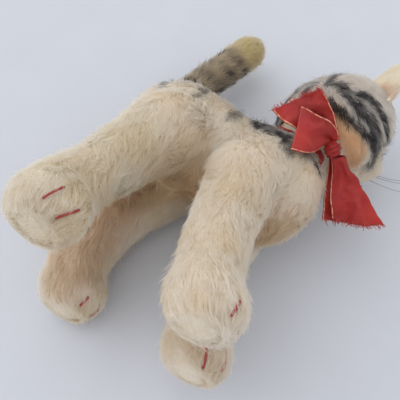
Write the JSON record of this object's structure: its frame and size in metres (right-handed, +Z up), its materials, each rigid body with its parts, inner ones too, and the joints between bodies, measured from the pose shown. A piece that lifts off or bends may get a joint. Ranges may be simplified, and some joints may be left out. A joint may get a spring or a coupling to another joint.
{
  "type": "plush cat",
  "caption": "Stuffed mohair cat standing on four paws, with a swivelling head on a disc joint, an upright stuffed tail, embroidered claws and a ribbon bow at the neck.",
  "frame": {"origin": "on the floor, at the middle of the whole object's footprint box", "axes": "+Z up through the cat, the chest faces -Y, the cat's left side is +X"},
  "size_m": [0.0842, 0.134, 0.1718],
  "materials": {
    "mohair": "cream mohair pile, worn, with faint grey-black stripes",
    "mohair_head": "cream mohair pile, airbrushed grey with black stripes",
    "ear_lining": "short cream pile with a tan shade",
    "stuffing": "packed wood wool",
    "claw_floss": "twisted cotton floss",
    "nose_floss": "twisted cotton floss",
    "sewing_thread": "linen thread",
    "card": "pressed grey-brown card",
    "steel": "bright drawn steel",
    "ribbon": "ribbed red ribbon with a woven peach edge",
    "eye_glass": "green glass with a black slit pupil",
    "whisker": "stiff dark thread"
  },
  "bodies": {
    "body": {"body_cover": "mohair", "body_stuffing": "stuffing", "claws_front_left": "claw_floss", "claws_front_right": "claw_floss", "claws_rear_left": "claw_floss", "claws_rear_right": "claw_floss", "closing_stitches": "sewing_thread", "body_joint_disc": "card", "body_joint_washer": "steel", "body_gather_thread": "sewing_thread", "neck_ribbon": "ribbon"},
    "head": {"head_cover": "mohair_head", "head_stuffing": "stuffing", "head_joint_disc": "card", "head_joint_washer": "steel", "head_gather_thread": "sewing_thread", "cotter_pin": "steel", "ear_left": "mohair_head", "ear_right": "mohair_head", "ear_lining_left": "ear_lining", "ear_lining_right": "ear_lining", "eye_left": "eye_glass", "eye_right": "eye_glass", "eye_wire_left": "steel", "eye_wire_right": "steel", "nose_stitching": "nose_floss", "mouth_stitching": "nose_floss", "whiskers_left": "whisker", "whiskers_right": "whisker"},
    "tail": {"tail_cover": "mohair", "tail_stuffing": "stuffing"}
  },
  "joints": [
    {"name": "neck_swivel", "type": "hinge", "parent": "body", "child": "head", "pos_m": [-0.00004, -0.00908, 0.10401], "axis": [-0.1793, -0.3735, 0.9101], "continuous": true},
    {"name": "tail_flex", "type": "hinge", "parent": "body", "child": "tail", "pos_m": [-0.00082, 0.05397, 0.113], "axis": [-1, 0, 0], "range_deg": [-8, 20], "stiffness_Nm_per_rad": 0.08}
  ]
}
